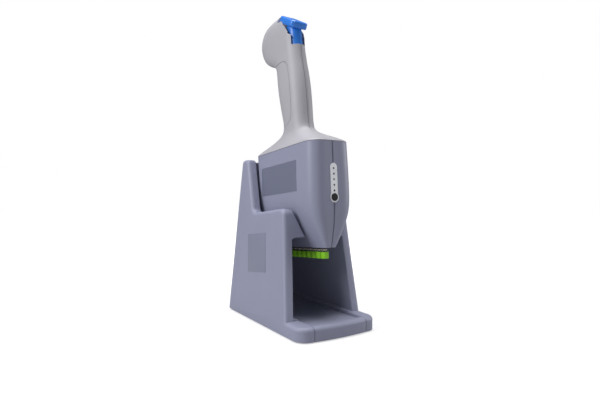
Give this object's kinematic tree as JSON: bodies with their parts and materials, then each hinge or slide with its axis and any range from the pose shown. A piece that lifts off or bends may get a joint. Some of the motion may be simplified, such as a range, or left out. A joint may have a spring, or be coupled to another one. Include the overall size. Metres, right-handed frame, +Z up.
{
  "type": "tube decapper",
  "caption": "Hand-held decapper for racked screw-cap sample tubes, standing in a desktop charging dock with an open bay below its row of driver bits.",
  "frame": {"origin": "middle of the footprint at the underside of the rubber feet, in the seam plane of the tool", "axes": "+X to the user's right, +Y from the open front of the dock to its back wall, +Z up"},
  "size_m": [0.0972, 0.1624, 0.3478],
  "materials": {
    "dock_plastic": "satin",
    "dark_plastic": "satin",
    "soft_rubber": "matte",
    "screw_steel": "bright",
    "contact_metal": "bright",
    "head_plastic": "satin",
    "handle_plastic": "satin",
    "grip_plastic": "matte",
    "strip_white": "gloss",
    "lens_dark": "gloss",
    "button_black": "satin",
    "board_green": "satin",
    "cell_wrap": "satin",
    "motor_steel": "bright",
    "plate_aluminium": "satin",
    "ejector_black": "satin",
    "key_blue": "satin",
    "rod_steel": "bright",
    "spring_steel": "bright",
    "bit_dark": "satin",
    "cap_lime": "satin",
    "gear_ivory": "satin"
  },
  "bodies": {
    "dock": {"dock_right_side": "dock_plastic", "dock_left_side": "dock_plastic", "floor_tray": "dock_plastic", "back_wall": "dock_plastic", "base_plate": "dark_plastic", "rubber_feet": "soft_rubber", "base_screws": "screw_steel", "cradle_pads": "soft_rubber", "charge_block": "dock_plastic", "charge_pins": "contact_metal", "power_inlet": "dark_plastic"},
    "tool": {"head_shell_left": "head_plastic", "head_shell_right": "head_plastic", "handle_shell_left": "handle_plastic", "handle_shell_right": "handle_plastic", "rear_grip_panel": "grip_plastic", "shell_screws": "screw_steel", "status_strip": "strip_white", "indicator_lenses": "lens_dark", "control_board": "board_green", "charge_contacts": "contact_metal", "battery_cell": "cell_wrap", "drive_motor": "motor_steel", "reduction_gearbox": "motor_steel", "lower_bearing_plate": "plate_aluminium", "upper_bearing_plate": "plate_aluminium", "plate_spacers": "contact_metal", "key_spring": "spring_steel"},
    "key": {"eject_key": "key_blue", "key_rod": "rod_steel"},
    "ejector": {"cap_ejector": "ejector_black"},
    "button": {"power_button": "button_black"},
    "spindle_body_1": {"spindle_1": "bit_dark", "tube_cap_1": "cap_lime"},
    "spindle_body_2": {"spindle_2": "bit_dark", "tube_cap_2": "cap_lime"},
    "spindle_body_3": {"spindle_3": "bit_dark", "tube_cap_3": "cap_lime"},
    "spindle_body_4": {"spindle_4": "bit_dark", "tube_cap_4": "cap_lime"},
    "spindle_body_5": {"spindle_5": "bit_dark", "tube_cap_5": "cap_lime"},
    "spindle_body_6": {"spindle_6": "bit_dark", "tube_cap_6": "cap_lime"},
    "spindle_body_7": {"spindle_7": "bit_dark", "tube_cap_7": "cap_lime"},
    "spindle_body_8": {"spindle_8": "bit_dark", "tube_cap_8": "cap_lime"},
    "idler_body_1": {"idler_gear_1": "gear_ivory"},
    "idler_body_2": {"idler_gear_2": "gear_ivory"},
    "idler_body_3": {"idler_gear_3": "gear_ivory"},
    "idler_body_4": {"idler_gear_4": "gear_ivory"},
    "idler_body_5": {"idler_gear_5": "gear_ivory"},
    "idler_body_6": {"idler_gear_6": "gear_ivory"},
    "idler_body_7": {"idler_gear_7": "gear_ivory"}
  },
  "joints": [
    {"name": "tool_lift", "type": "slide", "parent": "dock", "child": "tool", "axis": [0, 0.0785, 0.9969], "range_m": [0, 0.11]},
    {"name": "key_press", "type": "slide", "parent": "tool", "child": "key", "axis": [0, -0.165, -0.9863], "range_m": [0, 0.006], "stiffness_N_per_m": 800, "springref_m": -0.004, "deforming": ["key_spring"]},
    {"name": "ejector_push", "type": "slide", "parent": "tool", "child": "ejector", "axis": [0, -0.0785, -0.9969], "range_m": [0, 0.006]},
    {"name": "button_press", "type": "slide", "parent": "tool", "child": "button", "axis": [0, 0.9969, -0.0785], "range_m": [0, 0.001], "stiffness_N_per_m": 500, "springref_m": -0.001},
    {"name": "spindle_1_spin", "type": "hinge", "parent": "tool", "child": "spindle_body_1", "pos_m": [0, -0.05065, 0.08747], "axis": [0, 0.0785, 0.9969], "continuous": true},
    {"name": "spindle_2_spin", "type": "hinge", "parent": "tool", "child": "spindle_body_2", "pos_m": [0, -0.04168, 0.08676], "axis": [0, 0.0785, 0.9969], "continuous": true},
    {"name": "spindle_3_spin", "type": "hinge", "parent": "tool", "child": "spindle_body_3", "pos_m": [0, -0.03271, 0.08606], "axis": [0, 0.0785, 0.9969], "continuous": true},
    {"name": "spindle_4_spin", "type": "hinge", "parent": "tool", "child": "spindle_body_4", "pos_m": [0, -0.02374, 0.08535], "axis": [0, 0.0785, 0.9969], "continuous": true},
    {"name": "spindle_5_spin", "type": "hinge", "parent": "tool", "child": "spindle_body_5", "pos_m": [0, -0.01476, 0.08465], "axis": [0, 0.0785, 0.9969], "continuous": true},
    {"name": "spindle_6_spin", "type": "hinge", "parent": "tool", "child": "spindle_body_6", "pos_m": [0, -0.00579, 0.08394], "axis": [0, 0.0785, 0.9969], "continuous": true},
    {"name": "spindle_7_spin", "type": "hinge", "parent": "tool", "child": "spindle_body_7", "pos_m": [0, 0.00318, 0.08324], "axis": [0, 0.0785, 0.9969], "continuous": true},
    {"name": "spindle_8_spin", "type": "hinge", "parent": "tool", "child": "spindle_body_8", "pos_m": [0, 0.01215, 0.08253], "axis": [0, 0.0785, 0.9969], "continuous": true},
    {"name": "idler_1_spin", "type": "hinge", "parent": "tool", "child": "idler_body_1", "pos_m": [-0.00536, -0.04617, 0.08712], "axis": [0, 0.0785, 0.9969], "continuous": true},
    {"name": "idler_2_spin", "type": "hinge", "parent": "tool", "child": "idler_body_2", "pos_m": [0.00536, -0.03719, 0.08641], "axis": [0, 0.0785, 0.9969], "continuous": true},
    {"name": "idler_3_spin", "type": "hinge", "parent": "tool", "child": "idler_body_3", "pos_m": [-0.00536, -0.02822, 0.08571], "axis": [0, 0.0785, 0.9969], "continuous": true},
    {"name": "idler_4_spin", "type": "hinge", "parent": "tool", "child": "idler_body_4", "pos_m": [0.00536, -0.01925, 0.085], "axis": [0, 0.0785, 0.9969], "continuous": true},
    {"name": "idler_5_spin", "type": "hinge", "parent": "tool", "child": "idler_body_5", "pos_m": [-0.00536, -0.01028, 0.08429], "axis": [0, 0.0785, 0.9969], "continuous": true},
    {"name": "idler_6_spin", "type": "hinge", "parent": "tool", "child": "idler_body_6", "pos_m": [0.00536, -0.0013, 0.08359], "axis": [0, 0.0785, 0.9969], "continuous": true},
    {"name": "idler_7_spin", "type": "hinge", "parent": "tool", "child": "idler_body_7", "pos_m": [-0.00536, 0.00767, 0.08288], "axis": [0, 0.0785, 0.9969], "continuous": true}
  ],
  "couplings": [
    {"joint": "ejector_push", "follows": "key_press", "ratio": 1},
    {"joint": "spindle_1_spin", "follows": "spindle_4_spin", "ratio": 1},
    {"joint": "spindle_2_spin", "follows": "spindle_4_spin", "ratio": 1},
    {"joint": "spindle_3_spin", "follows": "spindle_4_spin", "ratio": 1},
    {"joint": "spindle_5_spin", "follows": "spindle_4_spin", "ratio": 1},
    {"joint": "spindle_6_spin", "follows": "spindle_4_spin", "ratio": 1},
    {"joint": "spindle_7_spin", "follows": "spindle_4_spin", "ratio": 1},
    {"joint": "spindle_8_spin", "follows": "spindle_4_spin", "ratio": 1},
    {"joint": "idler_1_spin", "follows": "spindle_4_spin", "ratio": -1},
    {"joint": "idler_2_spin", "follows": "spindle_4_spin", "ratio": -1},
    {"joint": "idler_3_spin", "follows": "spindle_4_spin", "ratio": -1},
    {"joint": "idler_4_spin", "follows": "spindle_4_spin", "ratio": -1},
    {"joint": "idler_5_spin", "follows": "spindle_4_spin", "ratio": -1},
    {"joint": "idler_6_spin", "follows": "spindle_4_spin", "ratio": -1},
    {"joint": "idler_7_spin", "follows": "spindle_4_spin", "ratio": -1}
  ]
}
